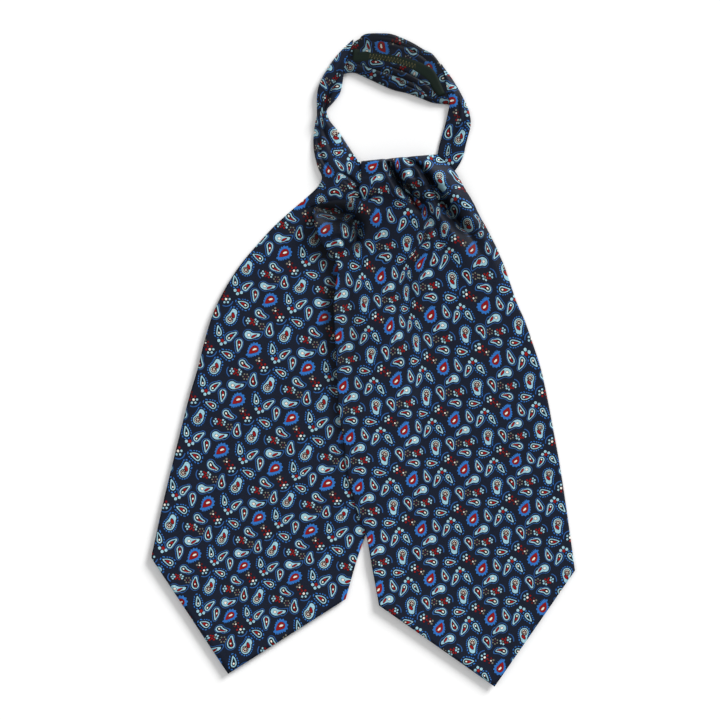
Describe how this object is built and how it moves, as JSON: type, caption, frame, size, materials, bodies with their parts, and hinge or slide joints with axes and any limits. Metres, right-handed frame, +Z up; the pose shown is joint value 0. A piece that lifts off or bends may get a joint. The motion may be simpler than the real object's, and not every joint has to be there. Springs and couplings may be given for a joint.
{
  "type": "silk day cravat laid flat with its neck band tied in a loop",
  "caption": "Silk day cravat laid flat: pleated neck band tied in a loop, one pointed blade folded over the other.",
  "frame": {"origin": "centre of the box around the cravat, on the surface that it lies on", "axes": "+Z up from the surface, +Y from the pointed ends towards the neck loop, +X towards the blade that lies on top"},
  "size_m": [0.339, 0.5213, 0.0208],
  "materials": {
    "printed_silk": "satin",
    "hidden_silk": "matte",
    "label_satin": "satin"
  },
  "bodies": {
    "root": {"back_blade": "printed_silk", "front_blade": "printed_silk", "band_left": "printed_silk", "band_back": "printed_silk", "band_right": "printed_silk", "knot_core": "hidden_silk", "label": "label_satin"}
  },
  "joints": []
}
